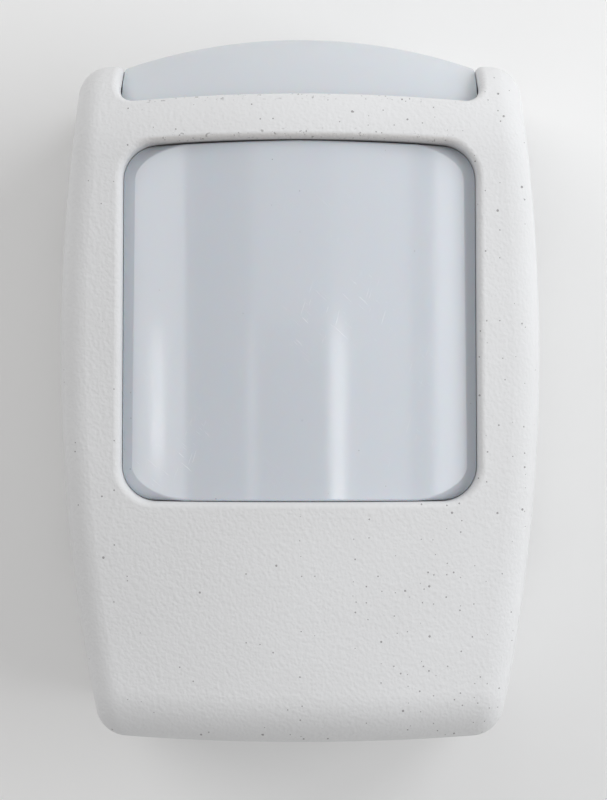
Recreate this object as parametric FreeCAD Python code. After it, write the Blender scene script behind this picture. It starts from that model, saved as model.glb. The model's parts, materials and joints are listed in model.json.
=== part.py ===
"""Wall-mounted passive infrared motion sensor, modelled as installed.

+Z is up and +Y points into the wall.  The rear mounting face lies on y = 0 and the
lens looks along -Y.  The origin is the centre of the rear mounting face.
All dimensions are in millimetres.
"""
import FreeCAD, Part
import math
import os

from FreeCAD import Vector

# --- Overall size -------------------------------------------------------------
HALF_WIDTH = 35.6          # half of the widest part of the cover, at the parting plane
WIDEST_Z = 4.8             # height at which the barrel-shaped sides are widest
BOTTOM_Z = -50.0           # lowest point of the cover
EAR_Z = 46.2               # crest of the arched top wall, before the notch is cut
DOME_Z = 49.55             # crest of the upper lens, the highest point of the sensor
FRONT_Y = -42.0            # foremost point of the cover
PARTING_Y = -12.0          # rear edge of the cover

# --- Cover form ---------------------------------------------------------------
CROWN_RADIUS = 139.0       # sideways curve of the front face
SIDE_RADIUS = 266.0        # barrel curve of the side walls
END_RADIUS = 460.0         # arch of the top and bottom walls
SIDE_DRAFT = 0.136         # the cover narrows by this much per mm towards the front
BOTTOM_DRAFT = 0.047
TOP_DRAFT = 0.044
CHIN_RADIUS = 7.0          # rounding from the front face to the bottom wall
BROW_RADIUS = 14.0         # rounding from the front face to the top wall
SIDE_ROUND = 4.5           # rounding from the front face to the side walls
COVER_WALL = 2.2

# --- Window and main lens -----------------------------------------------------
WINDOW_TOP_Z = 32.8
WINDOW_BOTTOM_Z = -15.9
WINDOW_HALF_TOP = 23.9
WINDOW_HALF_BOTTOM = 24.15
WINDOW_CORNER = 4.8
WINDOW_LIP = 0.8           # rounding of the window's outer edge
TUNNEL_WALL = 1.4          # collar behind the window that guides the lens
TUNNEL_REAR_Y = -34.6
LENS_GAP = 0.08
LENS_RADIUS = 88.0         # sideways curve of the lens's front
LENS_CREST_Y = -40.6
LENS_WALL = 0.9
LENS_FLANK_REAR_Y = -36.95  # sloping flanks at the sides, which narrow round the corners
LENS_FLANK_SLOPE = 2.0     # sideways run of a flank per mm of depth
LENS_CREASE_ROUND = 0.3
LENS_FLANGE = 1.2
LENS_FLANGE_THICK = 0.9
LENS_SEGMENT_DEPTH = 0.2
LENS_SEGMENT_WIDTH = 0.3
LENS_SEGMENT_PITCH = 6.6
LENS_SEGMENT_ROWS = (2.0, 18.0)
LENS_SEGMENT_HALF_WIDTH = 19.0
RETAINER_THICK = 2.0
RETAINER_OVERHANG = 3.2    # how far the retainer reaches outside the window's outline
RETAINER_SEAT = 2.0        # and inside it
RETAINER_CLIP = (1.2, 4.0, 8.0)   # thickness, depth and length of each clip
RETAINER_CLIP_Z = (-4.0, 20.0)
RETAINER_CLIP_X = 10.0

# --- Notch and upper lens -----------------------------------------------------
NOTCH_FLOOR_Z = 39.1
NOTCH_FLOOR_RADIUS = 330.0
NOTCH_HALF_FLOOR = 24.65   # half-width between the ears at the floor
NOTCH_HALF_TOP = 24.95     # and at the height of the upper lens's crest
NOTCH_CORNER = 2.2
NOTCH_LIP = 0.9
DOME_SPAN_RADIUS = 77.0    # sideways arch of the upper lens
DOME_NOSE_RADIUS = 17.5    # front-to-back curve of the upper lens
DOME_NOSE_Y = -20.0
DOME_GAP = 0.12            # between the upper lens and the notch's side walls
DOME_WALL = 1.6
DOME_REAR_Y = -12.2
DOME_REAR_FOOT_Z = 43.2
DOME_FRONT_FOOT_Z = 34.9

# --- Rear base ----------------------------------------------------------------
BASE_PLATE = 2.4
BASE_WALL = 2.0
BASE_RIM_Y = -11.7
BASE_SIDE_INSET = 0.3      # the base stands this far inside the cover's edge
BASE_DRAFT = -0.05
BASE_TOP_Z = 45.7
BASE_CORNER = 4.2
BASE_TOP_RIM_Y = -9.0      # the top rim is lower, so the cover can swing over it
BASE_STEP_Z = (39.8, 41.0)   # shelf that closes the view into the groove above the rim
BASE_STEP_Y = -11.0
BEVEL = 7.0                # 45 degree flats at the rear, for mounting in a corner
LIP_GAP = 0.45
LIP_WALL = 1.2
LIP_FRONT_Y = -13.7
LIP_TOP_Z = 36.0
SCREW_HOLE_RADIUS = 1.9
WALL_HOLE_X = 20.0
WALL_HOLE_TOP_Z = 37.0
WALL_HOLE_BOTTOM_Z = -41.0
CORNER_HOLE_Z = (-24.0, 24.0)
CABLE_HOLE_RADIUS = 4.0
CABLE_HOLE_Z = -42.0
LATCH_HALF_WIDTH = 4.6
LATCH_GAP = 0.4
LATCH_DEPTH = 2.4

# --- Cover hinge --------------------------------------------------------------
HINGE_Y = -13.4
HINGE_Z = 40.5
HINGE_PIN_RADIUS = 1.1
HINGE_PIN_LENGTH = 5.4
HINGE_PIN_OVERHANG = 0.4   # past the inner side of the hook
HINGE_CLEARANCE = 0.05
HOOK_RADIUS = 2.1
HOOK_X = (26.6, 28.8)
HOOK_MOUTH = 1.7

# --- Circuit board ------------------------------------------------------------
BOARD_HALF_WIDTH = 25.0
BOARD_Z = (-34.0, 33.0)
BOARD_REAR_Y = -8.2
BOARD_THICK = 1.6
BOARD_TRAVEL = 3.0
BOARD_CLEARANCE = 0.15
BOARD_FACE_Y = BOARD_REAR_Y - BOARD_THICK
RAIL_X = (24.0, 27.2)
RAIL_GROOVE_X = 25.35
RAIL_SPANS = ((-30.0, -12.0), (12.0, 30.0))
FIX_SCREW_X = -9.5
FIX_SCREW_Z = -28.0
FIX_SCREW_RADIUS = 1.5
FIX_HEAD_RADIUS = 3.0
FIX_BOSS_RADIUS = 3.2
FIX_THREAD_DEPTH = 4.5

# --- Parts on the board -------------------------------------------------------
SENSOR_Z = 8.4
SENSOR_STANDOFF = 1.0
SENSOR_RIM_RADIUS = 4.6
SENSOR_CAN_RADIUS = 4.1
SENSOR_CAN_HEIGHT = 4.2
SENSOR_OPENING = (5.0, 3.6)
SENSOR_LEAD_RADIUS = 0.23
SENSOR_LEAD_CIRCLE = 2.54
TAMPER_X = -18.0
TAMPER_Z = -27.0
TAMPER_BODY = 6.0
TAMPER_BODY_HEIGHT = 4.0
TAMPER_PLUNGER_RADIUS = 1.6
TAMPER_PLUNGER_TOP_Y = -19.0
TAMPER_POST_GAP = 0.4
TAMPER_POST = (3.0, 9.0)   # width and height of the cover's post over the plunger
TRIMMER_X = 17.0
TRIMMER_Z = 4.0
TRIMMER_SIZE = 6.8
TRIMMER_HEIGHT = 3.6
TRIMMER_ROTOR_RADIUS = 2.5
TERMINAL_COUNT = 6
TERMINAL_PITCH = 4.6
TERMINAL_X = 9.8
TERMINAL_Z = -29.5
TERMINAL_DEPTH = 8.0
TERMINAL_HEIGHT = 9.0
TERMINAL_FRONT_Y = BOARD_FACE_Y - TERMINAL_HEIGHT
SHIELD_RADIUS = 7.0
SHIELD_HEIGHT = 6.5
SHIELD_FOOT = 8.8
GUIDE_HALF_WIDTH = 9.0
GUIDE_Y = (-20.5, -16.0)
GUIDE_Z = (29.0, 39.0)
LED_PITCH = 4.5
LED_Z = 30.2
LED_RADIUS = 1.5
LED_HEIGHT = 3.4
RELAY_X = (4.0, 19.4)
RELAY_Z = (-19.6, -12.2)
RELAY_HEIGHT = 8.6
CHIP_PIN_PITCH = 1.27
CONTROLLER = {"x": -11.0, "z": -10.0, "width": 9.9, "height": 3.9, "thickness": 1.5, "pins": 7}
AMPLIFIER = {"x": 11.0, "z": -4.5, "width": 5.0, "height": 3.9, "thickness": 1.5, "pins": 4}
CRYSTAL_X = (-16.2, -5.2)
CRYSTAL_Z = (-18.6, -14.9)
CRYSTAL_HEIGHT = 3.5
CAPACITORS = (             # x, z, radius, height
    (-17.5, 23.0, 3.15, 7.0),
    (-8.5, 21.5, 4.0, 9.5),
    (18.0, 20.0, 3.15, 7.0),
)
SMALL_CHIP = (2.0, 1.25)
VARISTOR_X = (1.5, 22.6)
VARISTOR_Z = -21.4
VARISTOR_RADIUS = 3.2
VARISTOR_THICK = 1.8
JUMPER_X = -18.0
JUMPER_Z = 4.0
JUMPER_PITCH = 2.54
JUMPER_PIN_HALF = 0.32
JUMPER_CAP_TOP = 8.6
SPRING_WIRE_RADIUS = 0.13
SPRING_RADIUS = 1.4
SPRING_TURNS = 3.5
LEAD_HOLE_RADIUS = 0.45
PIN_TAIL = 1.4             # how far leads stand out behind the board


# --- Small helpers ------------------------------------------------------------
def box(x_span, y_span, z_span):
    """Block between two opposite corners."""
    size = [max(span) - min(span) for span in (x_span, y_span, z_span)]
    return Part.makeBox(*size, Vector(min(x_span), min(y_span), min(z_span)))


def rod(centre, direction, length, radius):
    """Round bar from a centre point along a direction."""
    return Part.makeCylinder(radius, length, Vector(*centre), Vector(*direction))


def post(x, z, y_span, radius):
    """Round bar along Y."""
    return rod((x, min(y_span), z), (0, 1, 0), max(y_span) - min(y_span), radius)


def tube(x, z, y_span, outer, inner):
    """Round tube along Y."""
    return post(x, z, y_span, outer).cut(post(x, z, y_span, inner))


def mirrored(shape):
    """Copy on the other side of the middle plane x = 0."""
    return shape.mirror(Vector(0, 0, 0), Vector(1, 0, 0))


def both_sides(shape):
    return [shape, mirrored(shape)]


def joined(shapes):
    """One solid from overlapping shapes."""
    return shapes[0].multiFuse(shapes[1:]).removeSplitter()


def group(shapes):
    """Several separate solids kept in one node."""
    return Part.makeCompound(shapes)


def middle(edge):
    return edge.valueAt((edge.FirstParameter + edge.LastParameter) / 2)


def fillet_where(shape, radius, chosen):
    """Round every edge whose middle point passes the test."""
    return shape.makeFillet(radius, [edge for edge in shape.Edges if chosen(middle(edge))])


def fillet_along_y(shape, radius):
    """Round the straight edges that run along Y."""
    edges = [edge for edge in shape.Edges if abs(edge.tangentAt(edge.FirstParameter).y) > 0.99]
    return shape.makeFillet(radius, edges)


def drafted_cone(centre_x, centre_z, radius, draft, inset):
    """Large cone about a line along Y, with the given radius at the parting plane."""
    margin = 16.0
    rear_y = PARTING_Y + margin
    front_y = FRONT_Y - margin
    parting_radius = radius - inset * math.hypot(1, draft)
    rear_radius = parting_radius + draft * margin
    front_radius = parting_radius - draft * (PARTING_Y - front_y)
    return Part.makeCone(rear_radius, front_radius, rear_y - front_y,
                         Vector(centre_x, rear_y, centre_z), Vector(0, -1, 0))


def outline_prism(points, y_span):
    """Straight-sided prism along Y from corner points given as (x, z)."""
    corners = [Vector(x, min(y_span), z) for x, z in points]
    wire = Part.makePolygon(corners + corners[:1])
    return Part.Face(wire).extrude(Vector(0, max(y_span) - min(y_span), 0))


# --- Cover --------------------------------------------------------------------
def cover_form(inset):
    """Solid inside the cover's outer surface, moved inwards by inset."""
    reach = 80.0
    form = rod((0, FRONT_Y + CROWN_RADIUS, -reach), (0, 0, 1), 2 * reach, CROWN_RADIUS - inset)
    form = form.common(box((-reach, reach), (PARTING_Y - reach, PARTING_Y), (-reach, reach)))
    side_centre = SIDE_RADIUS - HALF_WIDTH
    walls = (
        drafted_cone(-side_centre, WIDEST_Z, SIDE_RADIUS, SIDE_DRAFT, inset),
        drafted_cone(side_centre, WIDEST_Z, SIDE_RADIUS, SIDE_DRAFT, inset),
        drafted_cone(0, BOTTOM_Z + END_RADIUS, END_RADIUS, BOTTOM_DRAFT, inset),
        drafted_cone(0, EAR_Z - END_RADIUS, END_RADIUS, TOP_DRAFT, inset),
    )
    for wall in walls:
        form = form.common(wall).removeSplitter()
    front_limit = FRONT_Y + inset + 2.0
    side_limit = 20.0
    form = fillet_where(form, CHIN_RADIUS - inset,
                        lambda p: abs(p.x) < side_limit and p.y < front_limit and p.z < 0)
    form = fillet_where(form, BROW_RADIUS - inset,
                        lambda p: abs(p.x) < side_limit and p.y < front_limit and p.z > 0)
    return fillet_where(form, SIDE_ROUND - inset,
                        lambda p: abs(p.x) > side_limit and p.y < PARTING_Y - 0.5)


def window_form(grow, y_span):
    """Prism with the window's rounded outline, larger all round by grow."""
    shoulder_z = WINDOW_TOP_Z + grow - arch_drop(WINDOW_HALF_TOP)
    top_left = Vector(-WINDOW_HALF_TOP - grow, min(y_span), shoulder_z)
    top_right = Vector(-top_left.x, top_left.y, top_left.z)
    top_middle = Vector(0, top_left.y, WINDOW_TOP_Z + grow)
    bottom_right = Vector(WINDOW_HALF_BOTTOM + grow, top_left.y, WINDOW_BOTTOM_Z - grow)
    bottom_left = Vector(-bottom_right.x, top_left.y, bottom_right.z)
    edges = [
        Part.Arc(top_left, top_middle, top_right).toShape(),
        Part.makeLine(top_right, bottom_right),
        Part.makeLine(bottom_right, bottom_left),
        Part.makeLine(bottom_left, top_left),
    ]
    prism = Part.Face(Part.Wire(edges)).extrude(Vector(0, max(y_span) - min(y_span), 0))
    return fillet_along_y(prism, WINDOW_CORNER + grow)


def arch_drop(x):
    """Drop of the arched top walls at a distance x from the middle."""
    return x * x / (2 * END_RADIUS)


def notch_walls(inset, bottom_z):
    """Prism between the notch's two leaning side walls, narrower by inset at each side."""
    lean = (NOTCH_HALF_TOP - NOTCH_HALF_FLOOR) / (DOME_Z - NOTCH_FLOOR_Z)
    above = DOME_Z + 10.0
    foot = NOTCH_HALF_FLOOR + lean * (bottom_z - NOTCH_FLOOR_Z) - inset
    head = NOTCH_HALF_FLOOR + lean * (above - NOTCH_FLOOR_Z) - inset
    return outline_prism([(-foot, bottom_z), (foot, bottom_z), (head, above), (-head, above)],
                         (FRONT_Y - 5.0, PARTING_Y + 5.0))


def notch_form():
    """Prism that cuts the notch for the upper lens between the two ears."""
    depth = (FRONT_Y - 5.0, PARTING_Y + 5.0)
    prism = notch_walls(0, NOTCH_FLOOR_Z - 5.0)
    floor = rod((0, depth[0], NOTCH_FLOOR_Z - NOTCH_FLOOR_RADIUS), (0, 1, 0),
                depth[1] - depth[0], NOTCH_FLOOR_RADIUS)
    prism = prism.cut(floor)
    along_y = [edge for edge in prism.Edges if abs(edge.tangentAt(edge.FirstParameter).y) > 0.99]
    low_corners = [edge for edge in along_y if middle(edge).z < NOTCH_FLOOR_Z + 1]
    return prism.makeFillet(NOTCH_CORNER, low_corners)


def make_front_cover():
    """Front shell with its window, lens collar, notch, hinge pins and tamper post."""
    outer = cover_form(0)
    inner = cover_form(COVER_WALL)
    shell = outer.cut(inner)
    collar = window_form(TUNNEL_WALL, (FRONT_Y, TUNNEL_REAR_Y)).common(cover_form(COVER_WALL / 2))
    shell = shell.fuse(collar).cut(window_form(0, (FRONT_Y - 5, TUNNEL_REAR_Y + 5)))
    shell = shell.cut(notch_form())
    window_edges = [edge for edge in shell.Edges if is_window_edge(middle(edge))]
    shell = shell.makeFillet(WINDOW_LIP, window_edges)
    shell = shell.makeFillet(NOTCH_LIP, notch_edges(shell))
    tamper_post = box((TAMPER_X - TAMPER_POST[0] / 2, TAMPER_X + TAMPER_POST[0] / 2),
                      (TAMPER_PLUNGER_TOP_Y - TAMPER_POST_GAP, FRONT_Y + COVER_WALL),
                      (TAMPER_Z - TAMPER_POST[1] / 2, TAMPER_Z + TAMPER_POST[1] / 2))
    pin_start = HOOK_X[0] - HINGE_PIN_OVERHANG
    pin = rod((pin_start, HINGE_Y, HINGE_Z), (1, 0, 0), HINGE_PIN_LENGTH, HINGE_PIN_RADIUS)
    latch_slot = box((-LATCH_HALF_WIDTH - LATCH_GAP, LATCH_HALF_WIDTH + LATCH_GAP),
                     (PARTING_Y - LATCH_DEPTH - LATCH_GAP, PARTING_Y + 1), (BOTTOM_Z - 1, BOTTOM_Z + 3))
    return joined([shell, tamper_post] + both_sides(pin)).cut(latch_slot)


def is_window_edge(point):
    """True on the loop where the window's walls meet the front face."""
    inside_x = abs(point.x) < WINDOW_HALF_BOTTOM + 0.3
    inside_z = WINDOW_BOTTOM_Z - 0.3 < point.z < WINDOW_TOP_Z + 0.3
    return inside_x and inside_z and point.y < outer_crown_y(point.x) + 0.2


def outer_crown_y(x):
    """Depth of the front face at a distance x from the middle."""
    return FRONT_Y + CROWN_RADIUS - math.sqrt(CROWN_RADIUS ** 2 - x * x)


def notch_edges(shell):
    """Edges where the notch's walls meet the cover's outer surface."""
    outer = cover_form(0)
    found = []
    for edge in shell.Edges:
        point = middle(edge)
        if point.z < NOTCH_FLOOR_Z - 2 or abs(point.x) > NOTCH_HALF_TOP + 0.5:
            continue
        if point.y > PARTING_Y - 0.5:
            continue
        if outer.Shells[0].distToShape(Part.Vertex(point))[0] < 0.01:
            found.append(edge)
    return found


# --- Lenses -------------------------------------------------------------------
def lens_body(inset, rear_y):
    """Foot and pillow of the main lens: a curved front with sloping side flanks."""
    flank_y = LENS_FLANK_REAR_Y + inset * 0.4
    foot = window_form(-LENS_GAP - inset, (flank_y, rear_y))
    outline = min(foot.Faces, key=lambda face: face.CenterOfMass.y)
    depth = flank_y - FRONT_Y
    leaning = [outline.extrude(Vector(side * LENS_FLANK_SLOPE * depth, -depth, 0)) for side in (-1, 1)]
    reach = 60.0
    front = rod((0, LENS_CREST_Y + LENS_RADIUS, -reach), (0, 0, 1), 2 * reach, LENS_RADIUS - inset)
    return [foot, leaning[0].common(leaning[1]).common(front)]


def crease_edges(pillow):
    """Edges where the lens's curved front meets its side flanks."""
    middle_z = (WINDOW_TOP_Z + WINDOW_BOTTOM_Z) / 2
    return [edge for edge in pillow.Edges
            if middle(edge).y < LENS_FLANK_REAR_Y - 0.5 and abs(middle(edge).z - middle_z) < WINDOW_CORNER]


def make_main_lens():
    """Thin moulded lens with a rear flange and lens segments marked on its inside."""
    flange_rear_y = TUNNEL_REAR_Y + 0.1 + LENS_FLANGE_THICK
    foot, pillow = lens_body(0, flange_rear_y)
    pillow = pillow.makeFillet(LENS_CREASE_ROUND, crease_edges(pillow))
    flange = window_form(LENS_FLANGE, (TUNNEL_REAR_Y + 0.1, flange_rear_y))
    hollow = joined(lens_body(LENS_WALL, flange_rear_y + 1))
    lens = joined([foot, pillow, flange]).cut(hollow)
    inner_radius = LENS_RADIUS - LENS_WALL
    centre_y = LENS_CREST_Y + LENS_RADIUS
    groove_shell = tube_z(centre_y, inner_radius + LENS_SEGMENT_DEPTH, inner_radius - 1,
                          (WINDOW_BOTTOM_Z + 3, WINDOW_TOP_Z - 3))
    for index in range(-2, 4):
        x = (index - 0.5) * LENS_SEGMENT_PITCH
        blade = box((x, x + LENS_SEGMENT_WIDTH), (FRONT_Y, TUNNEL_REAR_Y), (WINDOW_BOTTOM_Z, WINDOW_TOP_Z))
        lens = lens.cut(groove_shell.common(blade))
    for z in LENS_SEGMENT_ROWS:
        blade = box((-LENS_SEGMENT_HALF_WIDTH, LENS_SEGMENT_HALF_WIDTH), (FRONT_Y, TUNNEL_REAR_Y),
                    (z, z + LENS_SEGMENT_WIDTH))
        lens = lens.cut(groove_shell.common(blade))
    return lens


def tube_z(centre_y, outer, inner, z_span):
    """Upright tube about a line behind the lens."""
    height = z_span[1] - z_span[0]
    base = (0, centre_y, z_span[0])
    return rod(base, (0, 0, 1), height, outer).cut(rod(base, (0, 0, 1), height, inner))


def make_lens_retainer():
    """Frame that clips over the lens collar and holds the lens from behind."""
    front_y = TUNNEL_REAR_Y + 0.2 + LENS_FLANGE_THICK
    span = (front_y, front_y + RETAINER_THICK)
    opening = window_form(-RETAINER_SEAT, (span[0] - 1, span[1] + 1))
    ring = window_form(RETAINER_OVERHANG, span).cut(opening)
    thick, depth, length = RETAINER_CLIP
    clip_y = (front_y - depth + 0.5, front_y + 0.5)
    side_x = WINDOW_HALF_BOTTOM + TUNNEL_WALL + 0.3
    clips = []
    for z in RETAINER_CLIP_Z:
        clips += both_sides(box((side_x, side_x + thick), clip_y, (z - length / 2, z + length / 2)))
    lower_z = WINDOW_BOTTOM_Z - TUNNEL_WALL - 0.3
    clips += both_sides(box((RETAINER_CLIP_X - length / 2, RETAINER_CLIP_X + length / 2), clip_y,
                            (lower_z - thick, lower_z)))
    return joined([ring] + clips)


def dome_profile(inset, rear_y, foot):
    """Middle section of the upper lens; foot lists the points of its lower side."""
    radius = DOME_NOSE_RADIUS - inset
    centre_z = DOME_Z - DOME_NOSE_RADIUS
    start_z = foot[0][1]
    start_y = DOME_NOSE_Y - math.sqrt(radius ** 2 - (start_z - centre_z) ** 2)
    nose = Part.Arc(Vector(0, start_y, start_z),
                    Vector(0, DOME_NOSE_Y - radius * math.cos(0.9), centre_z + radius * math.sin(0.9)),
                    Vector(0, DOME_NOSE_Y, centre_z + radius))
    corners = [Vector(0, DOME_NOSE_Y, centre_z + radius), Vector(0, rear_y, centre_z + radius)]
    corners += [Vector(0, y, z) for y, z in reversed(foot[1:])]
    corners.append(Vector(0, start_y, start_z))
    return Part.Face(Part.Wire([nose.toShape()] + Part.makePolygon(corners).Edges))


def dome_form(profile, inset):
    """Sweep the middle section sideways along the arch and trim its ends to the notch."""
    half_angle = 25.0
    axis_point = Vector(0, 0, DOME_Z - DOME_SPAN_RADIUS)
    start = profile.copy()
    start.rotate(axis_point, Vector(0, 1, 0), -half_angle)
    swept = start.revolve(axis_point, Vector(0, 1, 0), 2 * half_angle)
    return swept.common(notch_walls(DOME_GAP + inset, DOME_FRONT_FOOT_Z))


def make_upper_lens():
    """Arched translucent shell that fills the notch in the top of the cover."""
    foot = [(0, DOME_FRONT_FOOT_Z), (-33.0, DOME_FRONT_FOOT_Z), (DOME_REAR_Y, DOME_REAR_FOOT_Z)]
    outer = dome_form(dome_profile(0, DOME_REAR_Y, foot), 0)
    inner_rear_y = DOME_REAR_Y - DOME_WALL
    foot = [(0, DOME_FRONT_FOOT_Z - 1.5), (-30.0, 28.0), (inner_rear_y, 28.0)]
    inner = dome_form(dome_profile(DOME_WALL, inner_rear_y, foot), DOME_WALL)
    return outer.cut(inner)


# --- Rear base ----------------------------------------------------------------
def base_form(inset, y_span):
    """Tray-shaped solid with bevelled rear corners, moved inwards by inset."""
    side_centre = SIDE_RADIUS - HALF_WIDTH
    sides = SIDE_RADIUS - BASE_SIDE_INSET
    form = box((-60, 60), y_span, (-60, 60))
    walls = (
        drafted_cone(-side_centre, WIDEST_Z, sides, BASE_DRAFT, inset),
        drafted_cone(side_centre, WIDEST_Z, sides, BASE_DRAFT, inset),
        drafted_cone(0, BOTTOM_Z + END_RADIUS, END_RADIUS - BASE_SIDE_INSET, BASE_DRAFT, inset),
        drafted_cone(0, BASE_TOP_Z - END_RADIUS, END_RADIUS, BASE_DRAFT, inset),
    )
    for wall in walls:
        form = form.common(wall).removeSplitter()
    corner = [edge for edge in form.Edges
              if abs(edge.tangentAt(edge.FirstParameter).y) > 0.9 and abs(middle(edge).x) > 20]
    form = form.makeFillet(BASE_CORNER - inset, corner)
    reach = 200.0
    cut_x = HALF_WIDTH - BEVEL - inset * math.sqrt(2)
    bevel = outline_wedge(cut_x, reach)
    for wedge in both_sides(bevel):
        form = form.cut(wedge)
    return form


def outline_wedge(start_x, reach):
    """Upright wedge behind a 45 degree plane that meets y = 0 at start_x."""
    corners = [Vector(start_x - reach, reach, -reach), Vector(start_x + reach, -reach, -reach),
               Vector(start_x + reach, reach, -reach)]
    face = Part.Face(Part.makePolygon(corners + corners[:1]))
    return face.extrude(Vector(0, 0, 2 * reach))


def make_hook():
    """Arm on the base with an open round seat for the cover's hinge pin."""
    arm = box(HOOK_X, (HINGE_Y, -BASE_PLATE / 2), (HINGE_Z - HOOK_RADIUS, BASE_STEP_Z[1]))
    eye = rod((HOOK_X[0], HINGE_Y, HINGE_Z), (1, 0, 0), HOOK_X[1] - HOOK_X[0], HOOK_RADIUS)
    seat = rod((HOOK_X[0] - 1, HINGE_Y, HINGE_Z), (1, 0, 0), HOOK_X[1] - HOOK_X[0] + 2,
               HINGE_PIN_RADIUS + HINGE_CLEARANCE)
    mouth = box((HOOK_X[0] - 1, HOOK_X[1] + 1), (HINGE_Y - 2 * HOOK_RADIUS, HINGE_Y),
                (HINGE_Z - HOOK_MOUTH / 2, HINGE_Z + HOOK_MOUTH / 2))
    return arm.fuse(eye).cut(seat).cut(mouth)


def make_rail(z_span):
    """Grooved rail in which one edge of the circuit board slides."""
    rail = box(RAIL_X, (BASE_RIM_Y, -BASE_PLATE / 2), z_span)
    depth = (BOARD_REAR_Y + BOARD_CLEARANCE, BOARD_FACE_Y - BOARD_CLEARANCE)
    groove = box((RAIL_X[0] - 1, RAIL_GROOVE_X), depth, (z_span[0] - 1, z_span[1] + 1))
    return rail.cut(groove)


def make_rear_base():
    """Wall plate with its rim, locating lip, hinge hooks, board rails and mounting holes."""
    outer = base_form(0, (BASE_RIM_Y, 0))
    cavity = base_form(BASE_WALL, (BASE_RIM_Y - 1, -BASE_PLATE))
    tray = outer.cut(cavity)
    tray = tray.cut(box((-60, 60), (BASE_RIM_Y - 1, BASE_TOP_RIM_Y), (BASE_STEP_Z[0], 60)))
    lip_outer = cover_form(COVER_WALL + LIP_GAP)
    lip_inner = cover_form(COVER_WALL + LIP_GAP + LIP_WALL)
    lip = lip_outer.cut(lip_inner)
    lip = lip.common(box((-60, 60), (LIP_FRONT_Y, PARTING_Y), (-60, LIP_TOP_Z)))
    lip_root = lip_ring_root()
    step = box((-HOOK_X[0], HOOK_X[0]), (BASE_STEP_Y, -BASE_PLATE / 2), BASE_STEP_Z)
    boss_y = (BOARD_REAR_Y + 2 * BOARD_CLEARANCE, -BASE_PLATE / 2)
    boss = post(FIX_SCREW_X, FIX_SCREW_Z, boss_y, FIX_BOSS_RADIUS)
    latch = box((-LATCH_HALF_WIDTH, LATCH_HALF_WIDTH), (PARTING_Y - LATCH_DEPTH, BASE_RIM_Y + 4),
                (BOTTOM_Z + BASE_SIDE_INSET, BOTTOM_Z + 1.8))
    rails = [part for span in RAIL_SPANS for part in both_sides(make_rail(span))]
    base = joined([tray, lip, lip_root, step, boss, latch] + both_sides(make_hook()) + rails)
    for hole in wall_holes() + corner_holes():
        base = base.cut(hole)
    base = base.cut(post(0, CABLE_HOLE_Z, (-BASE_PLATE - 1, 1), CABLE_HOLE_RADIUS))
    return base.cut(post(FIX_SCREW_X, FIX_SCREW_Z, (BOARD_REAR_Y - 1, BOARD_REAR_Y + FIX_THREAD_DEPTH),
                         FIX_SCREW_RADIUS))


def lip_ring_root():
    """Ledge on the base's rim that carries the locating lip."""
    outer = base_form(0.5, (PARTING_Y, BASE_RIM_Y + 2.5))
    inner = cover_form_section(COVER_WALL + LIP_GAP + LIP_WALL, (PARTING_Y - 1, BASE_RIM_Y + 4))
    ring = outer.common(cover_form_section(COVER_WALL + LIP_GAP, (PARTING_Y - 1, BASE_RIM_Y + 4))).cut(inner)
    ledge = base_form(0.5, (BASE_RIM_Y, BASE_RIM_Y + 2.5)).cut(inner)
    return ring.fuse(ledge).common(box((-60, 60), (-20, 0), (-60, LIP_TOP_Z)))


def cover_form_section(inset, y_span):
    """Straight prism with the outline that the inset cover form has at the parting plane."""
    section = cover_form(inset)
    rear_faces = [face for face in section.Faces
                  if abs(face.CenterOfMass.y - PARTING_Y) < 0.01 and abs(face.normalAt(0, 0).y) > 0.99]
    face = rear_faces[0].copy()
    face.translate(Vector(0, min(y_span) - PARTING_Y, 0))
    return face.extrude(Vector(0, max(y_span) - min(y_span), 0))


def wall_holes():
    """Four screw holes through the base plate, for a flat wall."""
    return [post(x, z, (-BASE_PLATE - 1, 1), SCREW_HOLE_RADIUS)
            for x in (-WALL_HOLE_X, WALL_HOLE_X) for z in (WALL_HOLE_BOTTOM_Z, WALL_HOLE_TOP_Z)]


def corner_holes():
    """Screw holes square to the 45 degree flats, for mounting in a corner."""
    centre_x = HALF_WIDTH - BEVEL / 2
    centre_y = -BEVEL / 2
    holes = []
    for z in CORNER_HOLE_Z:
        start = (centre_x - 4, centre_y - 4, z)
        holes += both_sides(rod(start, (1, 1, 0), 10, SCREW_HOLE_RADIUS))
    return holes


# --- Circuit board and what stands on it ---------------------------------------
def make_circuit_board():
    """Board with its adjustment slot and the holes for the sensor's leads."""
    board = box((-BOARD_HALF_WIDTH, BOARD_HALF_WIDTH), (BOARD_FACE_Y, BOARD_REAR_Y), BOARD_Z)
    board = fillet_along_y(board, 1.5)
    depth = (BOARD_FACE_Y - 1, BOARD_REAR_Y + 1)
    half_slot = FIX_SCREW_RADIUS + 0.25
    reach = BOARD_TRAVEL + 0.3
    slot = joined([
        box((FIX_SCREW_X - half_slot, FIX_SCREW_X + half_slot), depth,
            (FIX_SCREW_Z - reach, FIX_SCREW_Z + reach)),
        post(FIX_SCREW_X, FIX_SCREW_Z - reach, depth, half_slot),
        post(FIX_SCREW_X, FIX_SCREW_Z + reach, depth, half_slot),
    ])
    board = board.cut(slot)
    for x, z in sensor_lead_places():
        board = board.cut(post(x, z, depth, LEAD_HOLE_RADIUS))
    return board


def sensor_lead_places():
    """Three leads on a circle under the infrared sensor."""
    radius = SENSOR_LEAD_CIRCLE
    angles = [math.radians(angle) for angle in (90, 180, 270)]
    return [(radius * math.cos(angle), SENSOR_Z + radius * math.sin(angle)) for angle in angles]


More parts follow.
